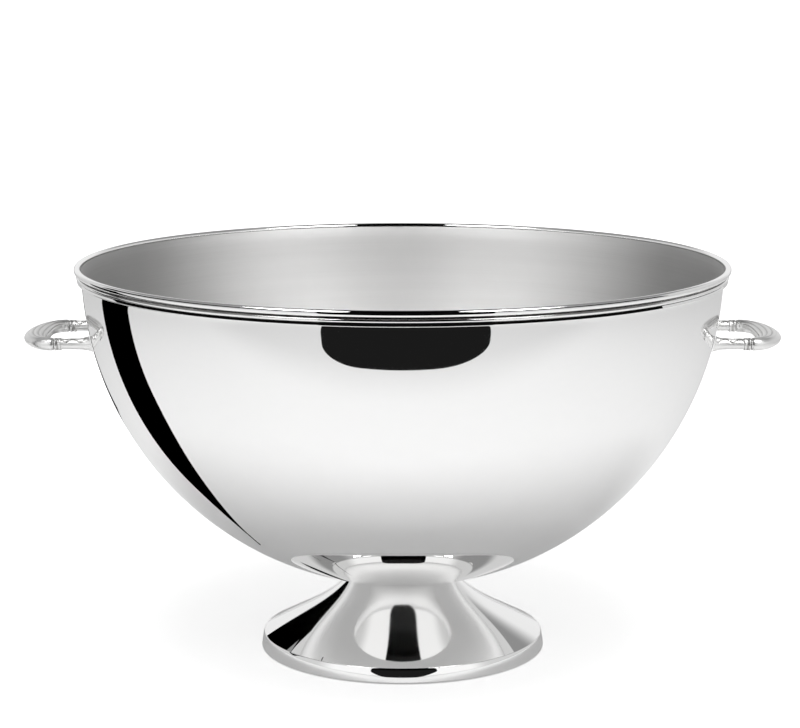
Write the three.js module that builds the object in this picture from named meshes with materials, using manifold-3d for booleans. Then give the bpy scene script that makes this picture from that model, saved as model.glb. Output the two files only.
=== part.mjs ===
// Silver champagne bucket: a half-round spun bowl with a reeded rim on a flared hollow foot,
// and a fixed loop handle soldered to each side. Millimetres, +Z up. The origin is the centre
// of the foot's resting face, and the two handles lie along +X and -X.
import * as THREE from "three";
import { mergeVertices } from "three/addons/utils/BufferGeometryUtils.js";
import Module from "manifold-3d";

// ---- Driving dimensions ----
const HEIGHT = 242; // resting face to the top of the rim
const RIM_RADIUS = 200; // outside of the lip bead
const GAP = 0.3; // clearance at every joint between two pieces
const TURN_STEPS = 48; // facets round every turned piece

const bowl = {
  radius: 195.6, // outside radius at the widest level
  depth: 197.9, // widest level down to the outside of the bottom
  level: HEIGHT - 0.8, // height of the widest level
  wall: 1.4,
  flareHeight: 9, // the edge leans out over this height
  flare: 1.6, // and by this much
  edge: HEIGHT - 2 - GAP, // top of the sheet, under the lip bead
};

const lip = {
  innerRadius: RIM_RADIUS - 3.9,
  topRadius: RIM_RADIUS - 2.4, // where the bead is highest
  capThickness: 2, // metal above the bowl's edge
  drop: 4.5, // bead's full height
};

const reed = { radius: 1.02, upperReach: 198.8, lowerReach: 198.2 };

const foot = {
  neckRadius: 32,
  edgeRadius: 84.8,
  edgeHeight: 10,
  wall: 1.3,
  studHole: 5,
};

const footBead = { centreRadius: 83.55, radius: 4.85, height: 9.7, flat: 2.4 };

const stud = { radius: 4, length: 15 };
const washer = { radius: 22, thickness: 2 };
const nut = { acrossFlats: 13, height: 6.5 };

const handle = {
  level: HEIGHT - 45.8, // height of the loop's centre line
  spread: 34.6, // from the handle's middle to each arm
  armRadius: 3.2,
  terminalRadius: 5,
  shoulder: 209.5, // where the arms end and the bail starts
  bend: 212, // where the bail starts to curve
  reach: 228.4, // farthest point of the bail's centre line
  barHeight: 8,
  barWidth: 8, // at its ends
  barWidening: 4, // half of what it gains in width at its middle
};
const collar = { radius: 4.6, length: 4 };

// ---- Materials ----
const polishedSilver = () =>
  new THREE.MeshStandardMaterial({ color: 0xe4e4e2, roughness: 0.06, metalness: 1 });
const brass = () =>
  new THREE.MeshStandardMaterial({ color: 0xb08d4a, roughness: 0.35, metalness: 1 });

// ---- Geometry helpers ----
const point = (r, z) => new THREE.Vector2(r, z);

// Points along a circular arc, angles in degrees anticlockwise from the radial direction.
function arc(r, z, radius, from, to, steps) {
  return Array.from({ length: steps + 1 }, (_, i) => {
    const a = THREE.MathUtils.degToRad(from + ((to - from) * i) / steps);
    return point(r + radius * Math.cos(a), z + radius * Math.sin(a));
  });
}

// A turned solid about +Z from a closed outline listed anticlockwise (radius to the right, height up).
function turned(outline, steps = TURN_STEPS) {
  const geometry = new THREE.LatheGeometry([...outline, outline[0]], steps);
  return geometry.rotateX(Math.PI / 2);
}

// A turned solid whose outline starts and ends on the axis.
function turnedToAxis(outline, steps = TURN_STEPS) {
  return new THREE.LatheGeometry(outline, steps).rotateX(Math.PI / 2);
}

// Outside radius of the bowl at a height, without the leaning edge.
function bowlRadiusAt(z) {
  const t = (z - bowl.level) / bowl.depth;
  return bowl.radius * Math.sqrt(Math.max(0, 1 - t * t));
}

// Height of the bowl's outside at a radius, lowered by an offset.
function bowlHeightAt(r, offset = 0) {
  const t = r / (bowl.radius + offset);
  return bowl.level - (bowl.depth + offset) * Math.sqrt(1 - t * t);
}

// How far the bowl's edge leans out at a height.
function lean(z) {
  const t = Math.max(0, (z - (bowl.edge - bowl.flareHeight)) / bowl.flareHeight);
  return bowl.flare * t * t;
}

const wasm = await Module();
wasm.setup();

function toSolid(geometry) {
  const bare = geometry.clone();
  bare.deleteAttribute("normal");
  bare.deleteAttribute("uv");
  const merged = mergeVertices(bare, 1e-4);
  const solid = new wasm.Mesh({
    numProp: 3,
    vertProperties: merged.attributes.position.array,
    triVerts: new Uint32Array(merged.index.array),
  });
  return new wasm.Manifold(solid);
}

function toGeometry(solid) {
  const mesh = solid.getMesh();
  return new THREE.BufferGeometry()
    .setAttribute("position", new THREE.BufferAttribute(mesh.vertProperties, 3))
    .setIndex(new THREE.BufferAttribute(mesh.triVerts, 1));
}

const group = new THREE.Group();

function add(name, geometry, material) {
  const mesh = new THREE.Mesh(geometry, material);
  mesh.name = name;
  group.add(mesh);
  return mesh;
}

// ---- Bowl and rim ----
// One face of the sheet, from near the axis out and up to the edge.
function bowlFace(inset) {
  const arcSteps = 13;
  const edgeSteps = 4;
  const leanStart = bowl.edge - bowl.flareHeight;
  const lastAngle = Math.acos((bowl.level - leanStart) / bowl.depth);
  const round = Array.from({ length: arcSteps }, (_, i) => {
    const a = (lastAngle * (i + 1)) / arcSteps;
    const r = (bowl.radius - inset) * Math.sin(a);
    return point(r, bowl.level - (bowl.depth - inset) * Math.cos(a));
  });
  const edge = Array.from({ length: edgeSteps }, (_, i) => {
    const z = leanStart + (bowl.flareHeight * (i + 1)) / edgeSteps;
    return point(bowlRadiusAt(z) + lean(z) - inset, z);
  });
  return [point(0, bowl.level - bowl.depth + inset), ...round, ...edge];
}

function bowlShell() {
  return turnedToAxis([...bowlFace(0), ...bowlFace(bowl.wall).reverse()]);
}

function lipBead() {
  const skirt = bowlRadiusAt(bowl.edge) + bowl.flare + GAP;
  const underside = HEIGHT - lip.capThickness;
  const bottom = HEIGHT - lip.drop;
  const innerRounding = lip.topRadius - lip.innerRadius;
  const outerRounding = RIM_RADIUS - lip.topRadius;
  return turned([
    point(skirt, bottom),
    ...arc(lip.topRadius, HEIGHT - outerRounding, outerRounding, -60, 90, 5),
    ...arc(lip.topRadius, HEIGHT - innerRounding, innerRounding, 90, 180, 3).slice(1),
    point(lip.innerRadius, underside),
    point(skirt, underside),
  ]);
}

// A half-round wire round the bowl, with its flat back against the sheet.
function reedWire(top, reach) {
  const middle = top - reed.radius;
  const back = bowlRadiusAt(top) + lean(top) + GAP;
  return turned([
    point(back, middle - reed.radius),
    ...arc(reach - reed.radius, middle, reed.radius, -90, 90, 5),
    point(back, middle + reed.radius),
  ]);
}

const upperReedTop = HEIGHT - lip.drop - GAP;
const lowerReedTop = upperReedTop - 2 * reed.radius - GAP;
add("bowl_shell", bowlShell(), polishedSilver());
add("rim_lip_bead", lipBead(), polishedSilver());
add("rim_upper_reed", reedWire(upperReedTop, reed.upperReach), polishedSilver());
add("rim_lower_reed", reedWire(lowerReedTop, reed.lowerReach), polishedSilver());

// ---- Foot ----
// The flare leaves the neck steeply and runs out to the edge with a slight hollow.
function footCurve(inset) {
  const neckTop = bowlHeightAt(foot.neckRadius, GAP);
  return new THREE.CubicBezierCurve(
    point(foot.neckRadius - inset, neckTop - inset),
    point(foot.neckRadius + 14 - inset, neckTop - 16.7 - inset),
    point(foot.edgeRadius - 24 - inset, foot.edgeHeight + 13.6 - inset),
    point(foot.edgeRadius - inset, foot.edgeHeight),
  );
}

function footShell() {
  const seatSteps = 3;
  const flareSteps = 10;
  const seatRadii = Array.from(
    { length: seatSteps },
    (_, i) => foot.studHole + ((foot.neckRadius - foot.studHole) * i) / seatSteps,
  );
  const top = seatRadii.map((r) => point(r, bowlHeightAt(r, GAP)));
  const underTop = seatRadii.map((r) => point(r, bowlHeightAt(r, GAP + foot.wall))).reverse();
  const outside = footCurve(0).getPoints(flareSteps);
  const inside = footCurve(foot.wall).getPoints(flareSteps).reverse();
  return turned([...top, ...outside, ...inside, ...underTop].reverse());
}

// Wire round the foot's edge: round outside, flat where it rests.
function footEdgeBead() {
  const { centreRadius, radius, height, flat } = footBead;
  return turned([
    point(centreRadius - flat, 0),
    point(centreRadius, 0),
    ...arc(centreRadius, radius, radius, -60, 60, 5),
    point(centreRadius, height),
    point(centreRadius - flat, height),
  ]);
}

add("foot_shell", footShell(), polishedSilver());
add("foot_edge_bead", footEdgeBead(), polishedSilver());

// ---- Fixing between bowl and foot ----
const studTop = bowl.level - bowl.depth - GAP;
const seatUnderside = bowlHeightAt(foot.studHole, GAP + foot.wall);
const washerTop = seatUnderside - GAP;
const nutTop = washerTop - washer.thickness - GAP;

function studRod() {
  const chamfer = 0.8;
  return turnedToAxis(
    [
      point(0, studTop - stud.length),
      point(stud.radius - chamfer, studTop - stud.length),
      point(stud.radius, studTop - stud.length + chamfer),
      point(stud.radius, studTop),
      point(0, studTop),
    ],
    16,
  );
}

function washerDisc() {
  const bore = stud.radius + GAP;
  const bottom = washerTop - washer.thickness;
  return turned(
    [
      point(bore, bottom),
      point(washer.radius, bottom),
      point(washer.radius, washerTop),
      point(bore, washerTop),
    ],
    32,
  );
}

function hexNut() {
  const corner = nut.acrossFlats / Math.sqrt(3);
  const outline = new THREE.Shape(
    Array.from({ length: 6 }, (_, i) => {
      const a = (Math.PI / 3) * i;
      return point(corner * Math.cos(a), corner * Math.sin(a));
    }),
  );
  outline.holes.push(new THREE.Path().absarc(0, 0, stud.radius + GAP, 0, 2 * Math.PI));
  const settings = { depth: nut.height, bevelEnabled: false, curveSegments: 12 };
  return new THREE.ExtrudeGeometry(outline, settings).translate(0, 0, nutTop - nut.height);
}

add("foot_stud", studRod(), brass());
add("foot_washer", washerDisc(), brass());
add("foot_nut", hexNut(), brass());

// ---- Handles ----
// The bail's centre line: two short straights joined by half an ellipse, in a level plane.
class BailCurve extends THREE.Curve {
  getPoint(t, target = new THREE.Vector3()) {
    const straight = handle.bend - handle.shoulder;
    const share = 0.06;
    const start = handle.shoulder + GAP;
    if (t < share) {
      return target.set(start + (straight - GAP) * (t / share), -handle.spread, 0);
    }
    if (t > 1 - share) {
      return target.set(start + (straight - GAP) * ((1 - t) / share), handle.spread, 0);
    }
    const a = Math.PI * ((t - share) / (1 - 2 * share) - 0.5);
    const depth = handle.reach - handle.bend;
    return target.set(handle.bend + depth * Math.cos(a), handle.spread * Math.sin(a), 0);
  }
}

// The bail's bar is oval in section, and gains width on its inner side towards its middle.
function bailBar() {
  const steps = 28;
  const around = 16;
  const curve = new BailCurve();
  const positions = [];
  const indices = [];
  for (let i = 0; i <= steps; i++) {
    const t = i / steps;
    const centre = curve.getPoint(t);
    const forward = curve.getTangent(t);
    const widening = handle.barWidening * Math.sin(Math.PI * t) ** 2;
    for (let k = 0; k < around; k++) {
      const a = (2 * Math.PI * k) / around;
      const across = Math.cos(a) * (handle.barWidth / 2 + widening) - widening;
      const up = Math.sin(a) * (handle.barHeight / 2);
      positions.push(centre.x + forward.y * across, centre.y - forward.x * across, up);
    }
  }
  for (let i = 0; i < steps; i++) {
    for (let k = 0; k < around; k++) {
      const a = i * around + k;
      const b = i * around + ((k + 1) % around);
      indices.push(a, b + around, b, a, a + around, b + around);
    }
  }
  for (let k = 1; k < around - 1; k++) {
    const last = steps * around;
    indices.push(0, k, k + 1);
    indices.push(last, last + k + 1, last + k);
  }
  const bar = new THREE.BufferGeometry();
  bar.setAttribute("position", new THREE.Float32BufferAttribute(positions, 3));
  bar.setIndex(indices);
  bar.computeVertexNormals();
  return bar;
}

// Everything within a joint's gap of the bowl, to trim what is soldered against it.
function bowlClearance() {
  const steps = 48;
  const outline = Array.from({ length: steps + 1 }, (_, i) => {
    const a = -Math.PI / 2 + (Math.PI * i) / steps;
    const r = (bowl.radius + GAP) * Math.cos(a);
    return point(Math.max(0, r), bowl.level + (bowl.depth + GAP) * Math.sin(a));
  });
  return toSolid(turnedToAxis(outline, 2 * TURN_STEPS));
}

// An arm is a round bar that swells to a trumpet end against the bowl.
function armBar(side, clearance) {
  const inside = bowl.radius - 16;
  const swell = 14;
  const outline = [
    point(0, inside),
    point(handle.terminalRadius + 0.6, inside),
    point(handle.terminalRadius, inside + swell - 5),
    point(handle.armRadius + 0.5, inside + swell - 1.5),
    point(handle.armRadius, inside + swell + 2),
    point(handle.armRadius, handle.shoulder),
    point(0, handle.shoulder),
  ];
  const bar = new THREE.LatheGeometry(outline, 14)
    .rotateZ(-Math.PI / 2)
    .translate(0, side * handle.spread, handle.level);
  return toGeometry(toSolid(bar).subtract(clearance));
}

function collarRing(side) {
  const bore = handle.armRadius + GAP;
  const start = handle.shoulder - collar.length;
  const waist = collar.radius - 0.7;
  const outline = [
    point(bore, start),
    point(waist, start),
    point(collar.radius, start + collar.length * 0.3),
    point(collar.radius, start + collar.length * 0.7),
    point(waist, handle.shoulder),
    point(bore, handle.shoulder),
    point(bore, start),
  ];
  return new THREE.LatheGeometry(outline, 16)
    .rotateZ(-Math.PI / 2)
    .translate(0, side * handle.spread, handle.level);
}

const clearance = bowlClearance();
for (const [side, turn] of [["right", 0], ["left", Math.PI]]) {
  const parts = new THREE.Group();
  parts.rotation.z = turn;
  group.add(parts);
  const place = (name, geometry) => {
    parts.add(add(`${side}_handle_${name}`, geometry, polishedSilver()));
  };
  place("bail", bailBar().translate(0, 0, handle.level));
  // Seen from the front, the front arm is the one on -Y on both sides.
  const front = turn === 0 ? -1 : 1;
  place("front_arm", armBar(front, clearance));
  place("rear_arm", armBar(-front, clearance));
  place("front_collar", collarRing(front));
  place("rear_collar", collarRing(-front));
}

export default group;
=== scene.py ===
"""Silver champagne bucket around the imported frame: spun bowl, reeded rim, flared foot with its
fixing, and two cast loop handles, on a pale studio floor. Metres, +Z up, the viewer on -Y."""
import math

import bpy
from mathutils import Matrix, Vector


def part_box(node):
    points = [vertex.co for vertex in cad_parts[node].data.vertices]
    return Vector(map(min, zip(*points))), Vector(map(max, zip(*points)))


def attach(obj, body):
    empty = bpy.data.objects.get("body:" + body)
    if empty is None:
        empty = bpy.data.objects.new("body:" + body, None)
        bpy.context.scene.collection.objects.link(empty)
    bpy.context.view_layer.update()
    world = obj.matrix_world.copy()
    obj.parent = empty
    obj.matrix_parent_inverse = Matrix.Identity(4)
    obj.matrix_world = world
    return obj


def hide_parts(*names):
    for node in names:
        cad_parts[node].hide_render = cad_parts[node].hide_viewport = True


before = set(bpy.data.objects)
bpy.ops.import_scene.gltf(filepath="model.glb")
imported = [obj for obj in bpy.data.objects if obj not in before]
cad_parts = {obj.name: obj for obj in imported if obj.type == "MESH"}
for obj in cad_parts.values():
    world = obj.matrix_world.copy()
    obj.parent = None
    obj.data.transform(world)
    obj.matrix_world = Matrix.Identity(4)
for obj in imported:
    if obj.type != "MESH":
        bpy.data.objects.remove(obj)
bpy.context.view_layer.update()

MM = 0.001

# ---- Sizes, from the frame where it holds them ----
lip_low, lip_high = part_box("rim_lip_bead")
RIM_RADIUS = lip_high.y
RIM_TOP = lip_high.z
BOWL_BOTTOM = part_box("bowl_shell")[0].z
BOWL_LEVEL = RIM_TOP - 0.8 * MM
BOWL_RADIUS = RIM_RADIUS - 4.4 * MM
BOWL_DEPTH = BOWL_LEVEL - BOWL_BOTTOM
BOWL_WALL = 1.4 * MM
GAP = 0.3 * MM

foot_low, foot_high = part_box("foot_shell")
FOOT_NECK = 32 * MM
FOOT_EDGE = foot_high.y
FOOT_EDGE_Z = foot_low.z
FOOT_WALL = 1.3 * MM
bead_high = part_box("foot_edge_bead")[1]

stud_low, stud_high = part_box("foot_stud")
washer_low, washer_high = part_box("foot_washer")
nut_low, nut_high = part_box("foot_nut")

bail_low, bail_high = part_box("right_handle_bail")
HANDLE_LEVEL = (bail_low.z + bail_high.z) / 2
HANDLE_SPREAD = 34.6 * MM
ARM_RADIUS = 3.2 * MM
SHOULDER = bail_low.x - GAP
BEND = SHOULDER + 2.5 * MM
BAIL_RADIUS = 4 * MM
BAIL_END_RADIUS = 3.35 * MM
REACH = bail_high.x - BAIL_RADIUS
COLLAR_LENGTH = 4 * MM
BAIL_WIDENING = 4 * MM  # half of what the bail gains in width at its middle

ROUND = 256  # facets round the large turned pieces
FINE_ROUND = 512  # and round their narrow mouldings


# ---- Node helpers ----
class Nodes:
    """A material's or world's node tree, built by short calls."""

    def __init__(self, owner):
        owner.use_nodes = True
        self.tree = owner.node_tree
        self.tree.nodes.clear()

    def add(self, kind, **settings):
        node = self.tree.nodes.new("ShaderNode" + kind)
        for key, value in settings.items():
            setattr(node, key, value)
        return node

    def feed(self, socket, value):
        if isinstance(value, bpy.types.NodeSocket):
            self.tree.links.new(value, socket)
        else:
            socket.default_value = value

    def math(self, operation, *values):
        node = self.add("Math", operation=operation)
        for socket, value in zip(node.inputs, values):
            self.feed(socket, value)
        return node.outputs[0]

    def ramp(self, value, low, high, to_low=0.0, to_high=1.0, kind="SMOOTHSTEP"):
        """value from low to high becomes to_low to to_high, and is held beyond them."""
        node = self.add("MapRange", interpolation_type=kind)
        for socket, v in zip(node.inputs, (value, low, high, to_low, to_high)):
            self.feed(socket, v)
        return node.outputs[0]

    def noise(self, vector, scale, detail=3.0, roughness=0.55):
        node = self.add("TexNoise")
        self.feed(node.inputs["Vector"], vector)
        node.inputs["Scale"].default_value = scale
        node.inputs["Detail"].default_value = detail
        node.inputs["Roughness"].default_value = roughness
        return node.outputs["Fac"]

    def scaled(self, vector, factors):
        node = self.add("VectorMath", operation="MULTIPLY")
        self.feed(node.inputs[0], vector)
        node.inputs[1].default_value = factors
        return node.outputs[0]

    def combine(self, x, y, z):
        node = self.add("CombineXYZ")
        for socket, value in zip(node.inputs, (x, y, z)):
            self.feed(socket, value)
        return node.outputs[0]

    def separate(self, vector):
        node = self.add("SeparateXYZ")
        self.feed(node.inputs[0], vector)
        return node.outputs

    def blend(self, factor, a, b):
        node = self.add("Mix", data_type="RGBA")
        self.feed(node.inputs["Factor"], factor)
        self.feed(node.inputs["A"], a)
        self.feed(node.inputs["B"], b)
        return node.outputs["Result"]


def colour(r, g, b):
    return (r, g, b, 1.0)


def darker(tint, factor):
    return colour(*(c * factor for c in tint))


def metal(name, tint, dark_tint, roughness, wear, lathe=0.0, anisotropy=0.0, painted_edge_shade=0.0, dull=0.0):
    """A worked metal. wear scales its fine scratches and finger-soft patches, lathe the turned
    rings about the axis, painted_edge_shade how much painted shade darkens a face seen edge
    on, and dull how much rougher the metal is near the axis, where a polishing wheel can't reach."""
    material = bpy.data.materials.new(name)
    n = Nodes(material)
    shader = n.add("BsdfPrincipled")
    place = n.add("TexCoord").outputs["Object"]
    x, y, z = n.separate(place)

    patches = n.ramp(n.noise(place, 14.0, 4.0), 0.35, 0.75)
    hairs = n.noise(n.scaled(place, (900.0, 60.0, 900.0)), 1.0, 2.0)
    cross_hairs = n.noise(n.scaled(place, (70.0, 800.0, 420.0)), 1.0, 2.0)
    scratches = n.ramp(n.math("MAXIMUM", hairs, cross_hairs), 0.66, 0.82)
    radius = n.math("SQRT", n.math("ADD", n.math("MULTIPLY", x, x), n.math("MULTIPLY", y, y)))
    if lathe:
        turn = n.math("ARCTAN2", y, x)
        # Distance along a turned wall, near enough: radius and height together.
        along = n.math("SUBTRACT", radius, z)
        fine = n.combine(n.math("MULTIPLY", along, 1600.0), n.math("MULTIPLY", turn, 1.5), 0.0)
        rings = n.noise(fine, 1.0, 3.0)
        broad = n.combine(n.math("MULTIPLY", along, 240.0), n.math("MULTIPLY", turn, 0.8), 4.0)
        broad_rings = n.noise(broad, 1.0, 2.0)

    groove = n.add("Attribute", attribute_name="groove").outputs["Fac"]
    dirt = n.math("MULTIPLY", groove, n.ramp(n.noise(place, 60.0, 3.0), 0.2, 0.7, 0.65, 1.0))

    tone = n.blend(n.math("MULTIPLY", patches, 0.35 * wear), colour(*tint), darker(tint, 0.93))
    if lathe:
        tone = n.blend(n.math("MULTIPLY", broad_rings, 0.22 * lathe), tone, darker(tint, 0.8))
    # Painted shade: the colour darkens towards near black where a face is seen edge on.
    if painted_edge_shade:
        facing = n.add("LayerWeight")
        facing.inputs["Blend"].default_value = 0.5
        shade = n.ramp(facing.outputs["Facing"], 0.08, 0.45, 0.0, painted_edge_shade)
        tone = n.blend(shade, tone, colour(0.03, 0.03, 0.03))
    tone = n.blend(dirt, tone, colour(*dark_tint))
    n.feed(shader.inputs["Base Color"], tone)
    shader.inputs["Metallic"].default_value = 1.0
    shader.inputs["Anisotropic"].default_value = anisotropy

    rough = n.math("ADD", n.math("MULTIPLY", patches, 0.03 * wear), roughness)
    rough = n.math("ADD", rough, n.math("MULTIPLY", scratches, 0.10 * wear))
    if lathe:
        uneven = n.math("MULTIPLY", n.math("SUBTRACT", rings, 0.5), 0.25 * lathe)
        rough = n.math("ADD", rough, uneven)
    rough = n.math("ADD", rough, n.math("MULTIPLY", dirt, 0.25))
    if dull:
        rough = n.math("ADD", rough, n.ramp(radius, 0.05, 0.085, dull, 0.0))
    n.feed(shader.inputs["Roughness"], rough)

    bump = n.add("Bump")
    bump.inputs["Strength"].default_value = 1.0
    relief = n.math("MULTIPLY", scratches, -0.0000015 * wear)
    if lathe:
        relief = n.math("ADD", relief, n.math("MULTIPLY", rings, 0.00003 * lathe))
    bump.inputs["Distance"].default_value = 1.0
    n.feed(bump.inputs["Height"], relief)
    n.feed(shader.inputs["Normal"], bump.outputs["Normal"])
    if anisotropy:
        # The brushing runs round the piece, so it spreads reflections up and down.
        tangent = n.add("Tangent", direction_type="RADIAL", axis="Z")
        n.feed(shader.inputs["Tangent"], tangent.outputs[0])
        shader.inputs["Anisotropic Rotation"].default_value = 0.25
    n.feed(n.add("OutputMaterial").inputs["Surface"], shader.outputs[0])
    return material


SILVER = (0.955, 0.954, 0.951)
TARNISH = (0.075, 0.07, 0.062)
mirror = metal("mirror_silver", SILVER, TARNISH, 0.02, 0.35)
bowl_mirror = metal("bowl_mirror_silver", SILVER, TARNISH, 0.02, 0.35, dull=0.05)
satin = metal("satin_silver", (0.925, 0.922, 0.917), TARNISH, 0.6, 0.8, 1.0, 0.5, 0.46)
cast = metal("cast_silver", (0.89, 0.888, 0.882), TARNISH, 0.33, 0.8)
brass = metal("turned_brass", (0.72, 0.55, 0.27), (0.10, 0.07, 0.03), 0.24, 1.0, 0.5)


# ---- Mesh helpers ----
def put_mesh(name, points, faces, materials, face_slots=None, grooves=None, sharp=50):
    """A smooth shaded object from points and outward faces. grooves says how dark with old
    polish each point is, and sharp is the angle in degrees past which an edge stays hard."""
    mesh = bpy.data.meshes.new(name)
    mesh.from_pydata(points, [], faces)
    for material in materials:
        mesh.materials.append(material)
    if face_slots:
        mesh.polygons.foreach_set("material_index", face_slots)
    attribute = mesh.attributes.new("groove", "FLOAT", "POINT")
    attribute.data.foreach_set("value", grooves or [0.0] * len(points))
    mesh.validate()
    mesh.polygons.foreach_set("use_smooth", [True] * len(mesh.polygons))
    mesh.set_sharp_from_angle(angle=math.radians(sharp))
    piece = bpy.data.objects.new(name, mesh)
    bpy.context.scene.collection.objects.link(piece)
    return piece


def arc(r, z, radius, start, end, steps):
    """Points of a circular arc, angles in degrees anticlockwise from the outward direction."""
    angles = [math.radians(start + (end - start) * i / steps) for i in range(steps + 1)]
    return [(r + radius * math.cos(a), z + radius * math.sin(a)) for a in angles]


def bezier(a, b, c, d, steps):
    """Points of a cubic curve."""
    result = []
    for i in range(steps + 1):
        t = i / steps
        s = 1 - t
        weights = (s ** 3, 3 * s * s * t, 3 * s * t * t, t ** 3)
        result.append(tuple(sum(w * p[k] for w, p in zip(weights, (a, b, c, d))) for k in (0, 1)))
    return result


def turned(name, outline, materials, slot_of=None, groove_of=None, steps=ROUND, sharp=50):
    """A solid turned about +Z. The outline is a closed loop of (radius, height) or of functions
    that give them from the angle, listed anticlockwise; it may start and end on the axis."""
    points, rings = [], []
    for place in outline:
        ring_place = place if callable(place) else (lambda angle, p=place: p)
        if not callable(place) and place[0] < 1e-9:
            rings.append([len(points)])
            points.append((0.0, 0.0, place[1]))
            continue
        ring = []
        for k in range(steps):
            angle = 2 * math.pi * k / steps
            r, z = ring_place(angle)
            ring.append(len(points))
            points.append((r * math.cos(angle), r * math.sin(angle), z))
        rings.append(ring)
    on_axis = len(rings[0]) == 1
    faces, slots = [], []
    for i in range(len(rings) - (1 if on_axis else 0)):
        a, b = rings[i], rings[(i + 1) % len(rings)]
        slot = slot_of(i) if slot_of else 0
        for k in range(steps):
            m = (k + 1) % steps
            if len(a) == 1:
                face = (a[0], b[m], b[k])
            elif len(b) == 1:
                face = (a[k], a[m], b[0])
            else:
                face = (a[k], a[m], b[m], b[k])
            faces.append(face)
            slots.append(slot)
    grooves = None
    if groove_of:
        grooves = []
        for i, ring in enumerate(rings):
            grooves += [groove_of(i)] * len(ring)
    return put_mesh(name, points, faces, materials, slots, grooves, sharp)


def place_piece(piece, slot, *nodes):
    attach(piece, "root")
    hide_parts(*nodes)
    return piece


# ---- Bowl ----
def bowl_radius(z, offset=0.0):
    t = (z - BOWL_LEVEL) / (BOWL_DEPTH + offset)
    return (BOWL_RADIUS + offset) * math.sqrt(max(0.0, 1 - t * t))


def bowl_height(r, offset=0.0):
    t = r / (BOWL_RADIUS + offset)
    return BOWL_LEVEL - (BOWL_DEPTH + offset) * math.sqrt(1 - t * t)


BOWL_EDGE = RIM_TOP - 2.3 * MM
LEAN_HEIGHT = 9 * MM
LEAN = 1.6 * MM


def lean(z):
    t = max(0.0, (z - (BOWL_EDGE - LEAN_HEIGHT)) / LEAN_HEIGHT)
    return LEAN * t * t


def bowl_face(inset, steps):
    """One face of the sheet, from the axis out and up to the edge."""
    last = math.acos((BOWL_LEVEL - BOWL_EDGE) / BOWL_DEPTH)
    result = [(0.0, BOWL_BOTTOM + inset)]
    for i in range(1, steps + 1):
        a = last * i / steps
        z = BOWL_LEVEL - (BOWL_DEPTH - inset) * math.cos(a)
        r = (BOWL_RADIUS - inset) * math.sin(a) + lean(z)
        result.append((r, min(z, BOWL_EDGE)))
    return result


def make_bowl():
    outside = bowl_face(0.0, 150)
    inside = bowl_face(BOWL_WALL, 110)[::-1]
    outline = outside + inside
    first_inside = len(outside) - 1
    piece = turned("spun_bowl", outline, [bowl_mirror, satin], lambda i: 1 if i >= first_inside else 0)
    place_piece(piece, "bowl_silver", "bowl_shell")


# ---- Rim ----
LIP_RADIUS = 2.0 * MM
LIP_CENTRE = (RIM_RADIUS - LIP_RADIUS, RIM_TOP - LIP_RADIUS)
SKIRT = bowl_radius(BOWL_EDGE) + LEAN + GAP


def make_lip():
    """The rolled wire that caps the sheet's edge."""
    outline = [(SKIRT, lip_low.z + 0.25 * MM)]
    outline += arc(*LIP_CENTRE, LIP_RADIUS, -64, 180, 44)
    inner = RIM_RADIUS - 2 * LIP_RADIUS
    outline += [(inner, BOWL_EDGE + GAP), (SKIRT, BOWL_EDGE + GAP)]
    dirt = lambda i: 0.9 if i < 3 else 0.0
    piece = turned("rim_wire", outline, [mirror], groove_of=dirt, steps=FINE_ROUND)
    place_piece(piece, "rim_silver", "rim_lip_bead")


def make_reed(name, node):
    """A half-round wire soldered under the lip, its edges dark where polish stays in the joint."""
    low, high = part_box(node)
    middle = (low.z + high.z) / 2
    radius = (high.z - low.z) / 2 + 0.08 * MM
    back = bowl_radius(middle) + lean(middle) + GAP
    curve = arc(high.y - radius, middle, radius, -90, 90, 26)
    outline = [(back, middle - radius)] + curve + [(back, middle + radius)]
    last = len(outline) - 1
    dirt = lambda i: max(0.0, 1.0 - min(i, last - i) / 6.0)
    piece = turned(name, outline, [mirror], groove_of=dirt, steps=FINE_ROUND)
    place_piece(piece, "rim_silver", node)


def make_fillet():
    """The lowest member: a bevel that faces out and up, rounded in to the bowl under it."""
    low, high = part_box("rim_lower_reed")
    foot_radius = 0.45 * MM
    back = bowl_radius(high.z) + lean(high.z) + GAP
    lean_angle = 20
    centre = (high.y - foot_radius, low.z + foot_radius)
    curve = arc(*centre, foot_radius, -100, lean_angle, 16)
    r, z = curve[-1]
    slope = math.tan(math.radians(lean_angle))
    top = high.z - 0.12 * MM
    steps = 10
    curve += [(r - slope * (top - z) * i / steps, z + (top - z) * i / steps) for i in range(1, steps + 1)]
    outline = [(back - 0.1 * MM, low.z + 0.05 * MM)] + curve + [(back, high.z)]
    last = len(outline) - 1
    dirt = lambda i: 1.0 if i in (0, last) else (0.6 if i in (1, last - 1) else 0.0)
    piece = turned("rim_reed_lower", outline, [mirror], groove_of=dirt, steps=FINE_ROUND)
    place_piece(piece, "rim_silver", "rim_lower_reed")


# ---- Foot ----
FOOT_LIP = 0.29 * MM  # how far the flare's edge stands above the sheet's lowest level
FOOT_FEATHER = 1.6 * MM  # how far the edge runs on, thinned, over the wire


def foot_curve(inset, steps):
    """One face of the flare, from the neck down and out to its edge."""
    neck_top = bowl_height(FOOT_NECK, GAP)
    return bezier(
        (FOOT_NECK - inset, neck_top - inset),
        (FOOT_NECK + 14.7 * MM - inset, neck_top - 17.2 * MM - inset),
        (FOOT_EDGE - 23.5 * MM - inset, FOOT_EDGE_Z + 12.6 * MM - inset),
        (FOOT_EDGE - inset, FOOT_EDGE_Z + FOOT_LIP),
        steps,
    )


def foot_seam():
    """Where the flare's feathered edge meets the wire, and the slope there."""
    (r0, z0), (r1, z1) = foot_curve(0.0, 90)[-2:]
    slope = (z1 - z0) / (r1 - r0)
    return r1 + FOOT_FEATHER, z1 + slope * FOOT_FEATHER, slope


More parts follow.
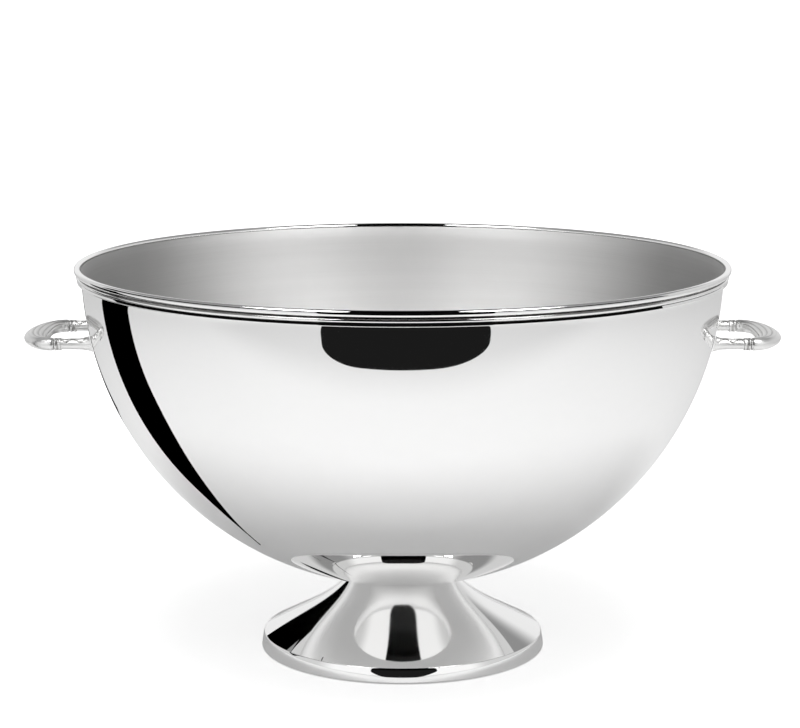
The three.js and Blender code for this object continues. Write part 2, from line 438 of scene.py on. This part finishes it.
def make_foot():
    hole = 5 * MM
    seat_steps = 8
    seat = [hole + (FOOT_NECK - hole) * i / seat_steps for i in range(seat_steps)]
    top = [(r, bowl_height(r, GAP)) for r in seat]
    under = [(r, bowl_height(r, GAP + FOOT_WALL)) for r in seat][::-1]
    seam_r, seam_z, _ = foot_seam()
    outside = foot_curve(0.0, 90) + [(seam_r, seam_z), (seam_r, seam_z - 0.2 * MM)]
    outside += [(FOOT_EDGE - 0.6 * MM, FOOT_EDGE_Z - 0.25 * MM)]
    inside = foot_curve(FOOT_WALL, 50)[::-1]
    outline = (top + outside + inside + under)[::-1]
    first_outside = len(under) + len(inside)
    last_outside = first_outside + len(outside) - 1
    shiny = lambda i: 0 if first_outside - 1 < i < last_outside else 1
    piece = turned("foot_flare", outline, [bowl_mirror, satin], shiny)
    place_piece(piece, "foot_silver", "foot_shell")


def make_foot_bead():
    """The wire round the foot's edge: it carries the flare on, rolls over and leans out to where
    it rests."""
    height = bead_high.z
    inner = bead_high.y - height / 2 - 2.4 * MM
    seam_r, seam_z, slope = foot_seam()
    start = (seam_r + 0.01 * MM, seam_z - 0.005 * MM)
    end = (bead_high.y, 0.9 * MM)
    along, face_lean, face_length = 0.9 * MM, 0.15, 4.4 * MM
    run = along / math.hypot(1, slope)
    shoulder = (start[0] + run, start[1] + slope * run)
    face = (end[0] - face_length * math.sin(face_lean), end[1] + face_length * math.cos(face_lean))
    roll = bezier(end, face, shoulder, start, 60)
    corner_radius = 0.8 * MM
    corner = arc(end[0] - corner_radius, corner_radius, corner_radius, -90, -20, 8)
    outline = [(inner, 0.0)] + corner + roll + [(start[0], start[1] - 0.22 * MM)]
    outline += [(FOOT_EDGE - 0.55 * MM, height), (inner, height)]
    piece = turned("foot_edge_wire", outline, [mirror], steps=FINE_ROUND)
    place_piece(piece, "foot_silver", "foot_edge_bead")


# ---- Fixing inside the foot ----
THREAD_PITCH = 1.25 * MM


def thread_dip(angle, z):
    """0 on a thread's crest and 1 in its root."""
    turns = (z / THREAD_PITCH - angle / (2 * math.pi)) % 1.0
    return min(1.0, max(0.0, abs(2 * turns - 1) * 1.5 - 0.25))


def make_stud():
    radius = (stud_high.y - stud_low.y) / 2
    depth = 0.55 * MM
    chamfer = 0.8 * MM
    rows = 110
    length = stud_high.z - stud_low.z

    def row(i):
        z = stud_low.z + length * i / rows
        limit = radius - max(0.0, chamfer - (z - stud_low.z))
        return lambda angle: (min(limit, radius - depth * thread_dip(angle, z)), z)

    outline = [(0.0, stud_low.z)] + [row(i) for i in range(rows + 1)] + [(0.0, stud_high.z)]
    piece = turned("foot_threaded_stud", outline, [brass], steps=48, sharp=70)
    place_piece(piece, "fixing_brass", "foot_stud")


def make_washer():
    bore = 4.3 * MM
    edge = 0.35 * MM
    low, high, outer = washer_low.z, washer_high.z, washer_high.y
    outline = [(bore, low), (outer - edge, low)]
    outline += arc(outer - edge, low + edge, edge, -90, 0, 5)
    outline += arc(outer - edge, high - edge, edge, 0, 90, 5)
    outline += [(bore, high)]
    piece = turned("foot_spread_washer", outline, [brass], steps=128)
    place_piece(piece, "fixing_brass", "foot_washer")


def make_nut():
    """A hexagon nut with both faces chamfered and a threaded bore."""
    low, high = nut_low.z, nut_high.z
    corner = nut_high.x
    flat = corner * math.cos(math.pi / 6)
    chamfer_start = flat * 0.97
    slope = math.tan(math.radians(30))
    bore = 4.3 * MM

    def hexagon(angle):
        beside = (angle + math.pi / 6) % (math.pi / 3) - math.pi / 6
        return flat / math.cos(abs(abs(beside) - math.pi / 6))

    def side(share):
        def ring(angle):
            r = hexagon(angle)
            drop = slope * max(0.0, r - chamfer_start)
            return r, low + drop + (high - low - 2 * drop) * share
        return ring

    def face(z):
        return lambda angle: (min(chamfer_start, hexagon(angle) * 0.97), z)

    rows = 44
    thread = [high - (high - low) * i / rows for i in range(rows + 1)]
    threads = [lambda a, z=z: (bore + 0.4 * MM * thread_dip(a, z), z) for z in thread]
    outline = [face(low)] + [side(i / 6) for i in range(7)] + [face(high)] + threads
    piece = turned("foot_hex_nut", outline, [brass], steps=144, sharp=24)
    place_piece(piece, "fixing_brass", "foot_nut")


# ---- Handles ----
def surface_x(y, z):
    """How far out the bowl's wall is at a place beside a handle."""
    r = bowl_radius(z, GAP)
    return math.sqrt(max(0.0, r * r - y * y))


def quads(rows, around, closed=False):
    """Faces between neighbouring rows of points, and from the last row to the first if closed."""
    faces = []
    for i in range(rows if closed else rows - 1):
        j = (i + 1) % rows
        for k in range(around):
            m = (k + 1) % around
            faces.append((i * around + k, i * around + m, j * around + m, j * around + k))
    return faces


def flat_list(rows):
    return [value for row in rows for value in row]


def tube(name, rings, dirt, materials):
    """A tube through rings of equal length, with a flat face at each end."""
    rows, around = len(rings), len(rings[0])
    faces = quads(rows, around)
    last = (rows - 1) * around
    faces.append(tuple(range(around))[::-1])
    faces.append(tuple(last + k for k in range(around)))
    return put_mesh(name, flat_list(rings), faces, materials, grooves=flat_list(dirt), sharp=60)


def ring_solid(name, rings, dirt, materials):
    """A ring-shaped solid: the last row of points joins the first."""
    faces = quads(len(rings), len(rings[0]), closed=True)
    return put_mesh(name, flat_list(rings), faces, materials, grooves=flat_list(dirt))


def bail_path(t):
    """Centre and forward direction of the bail at t from 0 to 1, in a level plane."""
    share = 0.06
    start = SHOULDER + GAP
    if t < share:
        return Vector((start + (BEND - start) * t / share, -HANDLE_SPREAD, 0)), Vector((1, 0, 0))
    if t > 1 - share:
        return Vector((start + (BEND - start) * (1 - t) / share, HANDLE_SPREAD, 0)), Vector((-1, 0, 0))
    a = math.pi * ((t - share) / (1 - 2 * share) - 0.5)
    depth = REACH - BEND
    centre = Vector((BEND + depth * math.cos(a), HANDLE_SPREAD * math.sin(a), 0))
    forward = Vector((-depth * math.sin(a), HANDLE_SPREAD * math.cos(a), 0)).normalized()
    return centre, forward


def bail_rings():
    """The bail widens inwards to its middle. It is smooth outside and below, and carries five
    reeds over its top and inner side."""
    steps, around = 150, 96
    reeds, depth = 5, 0.5 * MM
    from_angle, to_angle = math.radians(48), math.radians(176)
    rings, dirt = [], []
    for i in range(steps + 1):
        t = i / steps
        centre, forward = bail_path(t)
        outward = Vector((forward.y, -forward.x, 0))
        ease = min(1.0, max(0.0, (min(t, 1 - t) - 0.05) / 0.16))
        ease = ease * ease * (3 - 2 * ease)
        end = min(1.0, min(t, 1 - t) / 0.05)
        size = BAIL_END_RADIUS + (BAIL_RADIUS - BAIL_END_RADIUS) * end * (2 - end)
        widening = BAIL_WIDENING * math.sin(math.pi * t) ** 2
        centre = centre - outward * widening
        ring, marks = [], []
        for k in range(around):
            a = 2 * math.pi * k / around
            r = size
            mark = 0.0
            if from_angle < a < to_angle:
                phase = (a - from_angle) / (to_angle - from_angle) * reeds
                hollow = 1 - abs(math.sin(math.pi * phase)) ** 0.7
                inside = min(1.0, 4 * min(phase, reeds - phase))
                r -= depth * hollow * ease * inside
                mark = 0.75 * hollow ** 2 * ease * inside
            side = outward * (math.cos(a) * (r + widening))
            ring.append(centre + side + Vector((0, 0, HANDLE_LEVEL + math.sin(a) * r)))
            marks.append(mark)
        rings.append(ring)
        dirt.append(marks)
    return rings, dirt


def arm_rings(side):
    """A round arm with a wavy leaf relief along its top and a trumpet end on the bowl."""
    steps, around = 90, 56
    base_radius = 5.0 * MM
    rings, dirt = [], []
    for i in range(steps + 1):
        s = i / steps
        ring, marks = [], []
        swell = math.exp(-s / 0.13)
        r0 = ARM_RADIUS + (base_radius - ARM_RADIUS) * swell
        fade = min(1.0, s / 0.12) * min(1.0, (1 - s) / 0.06)
        wave = math.sin(2 * math.pi * s * 2.6)
        leaf = abs(math.sin(math.pi * s * 5.2))
        for k in range(around):
            a = 2 * math.pi * k / around
            crest = math.radians(90) + 0.45 * wave
            off = abs((a - crest + math.pi) % (2 * math.pi) - math.pi)
            raised = math.exp(-(off / 0.42) ** 2) * (0.45 + 0.55 * leaf)
            vein = math.exp(-(off / 0.09) ** 2)
            border = math.exp(-((off - 0.7) / 0.13) ** 2)
            r = r0 + fade * MM * (0.38 * raised - 0.10 * vein * leaf - 0.20 * border)
            y = side * HANDLE_SPREAD + r * math.cos(a)
            z = HANDLE_LEVEL + r * math.sin(a)
            base = surface_x(y, z)
            ring.append((base + (SHOULDER - base) * s, y, z))
            marks.append(min(0.9, fade * (0.75 * border + 0.25 * vein * leaf)))
        rings.append(ring)
        dirt.append(marks)
    return rings, dirt


def collar_rings(side):
    """A ring of two rounds with a groove between them, round the arm's end."""
    low, high = SHOULDER - COLLAR_LENGTH, SHOULDER
    bore, waist, crest = ARM_RADIUS + 0.15 * MM, 3.6 * MM, 3.95 * MM
    around, steps = 56, 32
    profile = [(low, bore)]
    marks = [1.0]
    for i in range(steps + 1):
        s = i / steps
        x = low + (high - low) * s
        bump = abs(math.cos(math.pi * s)) ** 1.3 * min(1.0, 9 * min(s, 1 - s)) ** 0.5
        profile.append((x, waist + (crest - waist) * bump))
        marks.append(0.95 * (1 - bump) ** 2)
    profile.append((high, bore))
    marks.append(1.0)
    rings, dirt = [], []
    angles = [2 * math.pi * k / around for k in range(around)]
    middle = side * HANDLE_SPREAD
    for (x, r), mark in zip(profile, marks):
        rings.append([(x, middle + r * math.cos(a), HANDLE_LEVEL + r * math.sin(a)) for a in angles])
        # The groove marks are darker towards the bottom of the collar and lightest on top.
        dirt.append([mark * (0.62 - 0.38 * math.sin(a)) for a in angles])
    return rings, dirt


def make_handle(side_name, turn):
    spin = Matrix.Rotation(turn, 3, "Z")

    def turned_round(rings):
        return [[tuple(spin @ Vector(p)) for p in ring] for ring in rings]

    rings, dirt = bail_rings()
    bail = tube(f"{side_name}_reeded_bail", turned_round(rings), dirt, [cast])
    place_piece(bail, "handle_silver", f"{side_name}_handle_bail")
    front = -1 if turn == 0 else 1
    for where, side in (("front", front), ("rear", -front)):
        rings, dirt = arm_rings(side)
        arm = tube(f"{side_name}_{where}_leaf_arm", turned_round(rings), dirt, [cast])
        place_piece(arm, "handle_silver", f"{side_name}_handle_{where}_arm")
        rings, dirt = collar_rings(side)
        collar = ring_solid(f"{side_name}_{where}_double_collar", turned_round(rings), dirt, [cast])
        place_piece(collar, "handle_silver", f"{side_name}_handle_{where}_collar")


make_bowl()
make_lip()
make_reed("rim_reed_upper", "rim_upper_reed")
make_fillet()
make_foot()
make_foot_bead()
make_stud()
make_washer()
make_nut()
make_handle("right", 0.0)
make_handle("left", math.pi)


# ---- Studio ----
def level_corners(left, right, near, far, z):
    """The corners of a level rectangle."""
    return [(left, near, z), (right, near, z), (right, far, z), (left, far, z)]


def stage_card(name, points, faces, strength):
    """A card that only reflections see: white light, or black where its strength is near 0."""
    mesh = bpy.data.meshes.new(name)
    mesh.from_pydata(points, [], faces)
    material = bpy.data.materials.new(name)
    n = Nodes(material)
    glow = n.add("Emission")
    glow.inputs["Color"].default_value = colour(1, 1, 1)
    glow.inputs["Strength"].default_value = strength
    n.feed(n.add("OutputMaterial").inputs["Surface"], glow.outputs[0])
    mesh.materials.append(material)
    card = bpy.data.objects.new(name, mesh)
    bpy.context.scene.collection.objects.link(card)
    card.visible_camera = False
    card.visible_shadow = False
    card.visible_diffuse = False


def make_floor():
    mesh = bpy.data.meshes.new("floor")
    reach = 30.0
    mesh.from_pydata(level_corners(-reach, reach, -reach, reach, 0), [], [(0, 1, 2, 3)])
    material = bpy.data.materials.new("pale_floor")
    n = Nodes(material)
    shader = n.add("BsdfPrincipled")
    place = n.add("TexCoord").outputs["Object"]
    grain = n.noise(place, 30.0, 3.0)
    n.feed(shader.inputs["Base Color"], n.blend(grain, colour(0.9, 0.9, 0.9), colour(0.88, 0.88, 0.88)))
    shader.inputs["Roughness"].default_value = 0.6
    shader.inputs["Specular IOR Level"].default_value = 0.1
    # The viewer sees the floor burnt out to white, as over a lit sweep; reflections see it as lit.
    seen = n.add("LightPath").outputs["Is Camera Ray"]
    x, y, _ = n.separate(place)
    away = n.math("SQRT", n.math("ADD", n.math("MULTIPLY", x, x), n.math("MULTIPLY", y, y)))
    shader.inputs["Emission Color"].default_value = colour(1, 1, 1)
    burn = n.ramp(away, 0.2, 1.0, 0.5, 0.8)
    n.feed(shader.inputs["Emission Strength"], n.math("MULTIPLY", seen, burn))
    n.feed(n.add("OutputMaterial").inputs["Surface"], shader.outputs[0])
    mesh.materials.append(material)
    floor = bpy.data.objects.new("floor", mesh)
    floor.location.z = -0.0002
    bpy.context.scene.collection.objects.link(floor)


PANEL_GLOW = 7.0


def front_opening():
    """The black opening the viewer looks in through: an upright card, its lower corners rounded."""
    y, sill, top, middle, half_width = -0.57, 0.15, 1.6, 0.012, 0.262
    points = []
    for side, corner_width, corner_height in ((-1, 0.12, 0.065), (1, 0.17, 0.072)):
        edge = middle + side * half_width
        corner = []
        for i in range(17):
            a = math.radians(90 * i / 16)
            x = edge - side * corner_width * (1 - math.cos(a))
            corner.append((x, y, corner_height * (1 - math.sin(a))))
        points += [(edge, y, sill)] + corner if side < 0 else corner[::-1] + [(edge, y, sill)]
    stage_card("front_opening", points, [tuple(range(len(points)))], 0.011)
    left, right = middle - half_width, middle + half_width
    corners = [(left, y, sill), (right, y, sill), (right, y, top), (left, y, top)]
    stage_card("upper_opening", corners, [(0, 1, 2, 3)], 0.0)
    # The slot runs on overhead between two glowing panels.
    slot_half_width, slot_height = 0.33, 1.41
    corners = level_corners(middle - slot_half_width, middle + slot_half_width, -1.0, 0.6, slot_height)
    stage_card("overhead_slot", corners, [(0, 1, 2, 3)], 0.0)
    high, near, far = 1.4, -0.98, -0.33
    for name, inner, outer in (("left", -0.29, -0.98), ("right", 0.31, 1.0)):
        corners = level_corners(inner, outer, near, far, high)
        stage_card(f"{name}_top_panel", corners, [(0, 1, 2, 3)], PANEL_GLOW)


def hugging_flag():
    """A black crescent beside the bowl's left wall. It draws the long dark stripe in the silver."""
    y = -0.03
    steps = 40
    first, last, taper_from, taper_over = 1, 63, 28, 33  # degrees below the bowl's widest level
    near, far = [], []
    for i in range(steps + 1):
        degrees = first + (last - first) * i / steps
        below = math.radians(degrees)
        taper = min(1.0, max(0.0, (degrees - taper_from) / taper_over))
        width = 0.125 * (1 - taper * taper * (3 - 2 * taper)) + 0.003
        reach = 0.234 + 0.00037 * degrees - 0.00013 * max(0.0, degrees - 46) ** 2
        for points, r in ((near, reach), (far, reach + width)):
            points.append((-r * math.cos(below), y, BOWL_LEVEL - r * math.sin(below)))
    faces = [(i, i + 1, steps + 2 + i, steps + 1 + i) for i in range(steps)]
    stage_card("hugging_flag", near + far, faces, 0.0)


def rear_flag():
    """A black card behind on the left. The foot's left flank mirrors it."""
    turn, width, low, high = math.radians(28), 0.126, 0.088, 0.225
    middle = Vector((-0.192, 0.224))
    half = Vector((math.cos(turn), math.sin(turn))) * width / 2
    a, b = middle - half, middle + half
    corners = [(a.x, a.y, low), (b.x, b.y, low), (b.x, b.y, high), (a.x, a.y, high)]
    stage_card("rear_flag", corners, [(0, 1, 2, 3)], 0.0)


def black_rail():
    """A curved black band level with the rim. It draws the dark lines in the moulding."""
    radius, low, high, steps = 0.25, 0.25, 0.285, 60
    left_end, sweep = -78, 140  # degrees round from the viewer
    points = []
    for i in range(steps + 1):
        a = math.radians(left_end + sweep * i / steps)
        points += [(radius * math.sin(a), -radius * math.cos(a), z) for z in (low, high)]
    faces = [(2 * i, 2 * i + 2, 2 * i + 3, 2 * i + 1) for i in range(steps)]
    stage_card("black_rail", points, faces, 0.003)


def place_lamp(name, data, place, target):
    lamp = bpy.data.objects.new(name, data)
    lamp.location = place
    lamp.rotation_euler = (Vector(target) - Vector(place)).to_track_quat("-Z", "Y").to_euler()
    lamp.visible_camera = False
    bpy.context.scene.collection.objects.link(lamp)
    return lamp


def softbox(name, place, target, width, height, power):
    data = bpy.data.lights.new(name, "AREA")
    data.shape = "RECTANGLE"
    data.size, data.size_y = width, height
    data.energy = power
    return place_lamp(name, data, place, target)


def scrim():
    """A net over the front of the floor. It only dims the light that falls there."""
    low, near, edge, reach = 0.35, -4.0, -0.46, 3.0
    mesh = bpy.data.meshes.new("scrim")
    mesh.from_pydata(level_corners(-reach, reach, near, edge, low), [], [(0, 1, 2, 3)])
    material = bpy.data.materials.new("scrim")
    n = Nodes(material)
    net = n.add("BsdfTransparent")
    net.inputs["Color"].default_value = colour(0.60, 0.60, 0.60)
    n.feed(n.add("OutputMaterial").inputs["Surface"], net.outputs[0])
    mesh.materials.append(material)
    card = bpy.data.objects.new("scrim", mesh)
    bpy.context.scene.collection.objects.link(card)
    card.visible_camera = False
    card.visible_glossy = False
    card.visible_diffuse = False


def fill_light(strength):
    """Even light from a wide bank high above, kept out of reflections."""
    data = bpy.data.lights.new("fill", "SUN")
    data.energy = strength
    data.angle = math.radians(85)
    place_lamp("fill", data, (0, 0, 5), (0, 0, 0)).visible_glossy = False


def make_world():
    world = bpy.data.worlds.new("studio")
    bpy.context.scene.world = world
    n = Nodes(world)
    direction = n.add("TexCoord").outputs["Generated"]
    x, y, z = n.separate(direction)
    height = n.math("ARCSINE", z)
    around = n.math("ABSOLUTE", n.math("ARCTAN2", x, n.math("MULTIPLY", y, -1.0)))
    # A white tent: its low walls are brightest in front and greyest at the sides, its upper
    # walls are darker, and it is an even grey overhead.
    low = n.math("ADD", n.ramp(around, 0.95, 1.3, 1.0, 0.66), n.ramp(around, 2.5, 2.8, 0.0, 0.2))
    high = n.ramp(around, 1.0, 1.4, 0.6, 0.28)
    climb_from = n.ramp(around, 2.35, 2.6, 0.50, 0.30)
    climb_to = n.ramp(around, 2.35, 2.6, 0.65, 0.55)
    climb = n.ramp(height, climb_from, climb_to)
    wall = n.math("ADD", low, n.math("MULTIPLY", climb, n.math("SUBTRACT", high, low)))
    overhead = n.ramp(height, 1.0, 1.2)
    wall_share = n.math("MULTIPLY", wall, n.math("SUBTRACT", 1.0, overhead))
    level = n.math("ADD", wall_share, n.math("MULTIPLY", overhead, 0.6))
    background = n.add("Background")
    n.feed(background.inputs["Color"], n.combine(level, level, level))
    background.inputs["Strength"].default_value = 1.0
    n.feed(n.add("OutputWorld").inputs["Surface"], background.outputs[0])


make_floor()
front_opening()
hugging_flag()
rear_flag()
black_rail()
softbox("key_softbox", (0, -0.28, 1.4), (0, -0.28, 0), 1.0, 0.65, 10.6).visible_glossy = False
fill_light(0.18)
scrim()
make_world()

# ---- Camera ----
CAMERA_BACK = 7.38  # from the axis, in rim radii
CAMERA_RISE = 0.9926  # above the rim, in rim radii
CAMERA_PITCH = 10.09  # degrees below level
CAMERA_LENS = 109.24
CAMERA_SHIFT = -0.00325

camera_data = bpy.data.cameras.new("camera")
camera_data.lens = CAMERA_LENS
camera_data.shift_x = CAMERA_SHIFT
camera_data.clip_end = 100
camera = bpy.data.objects.new("camera", camera_data)
camera.location = (0, -CAMERA_BACK * RIM_RADIUS, RIM_TOP + CAMERA_RISE * RIM_RADIUS)
camera.rotation_euler = (math.radians(90 - CAMERA_PITCH), 0, 0)
bpy.context.scene.collection.objects.link(camera)
bpy.context.scene.camera = camera
bpy.context.scene.view_settings.view_transform = "Standard"
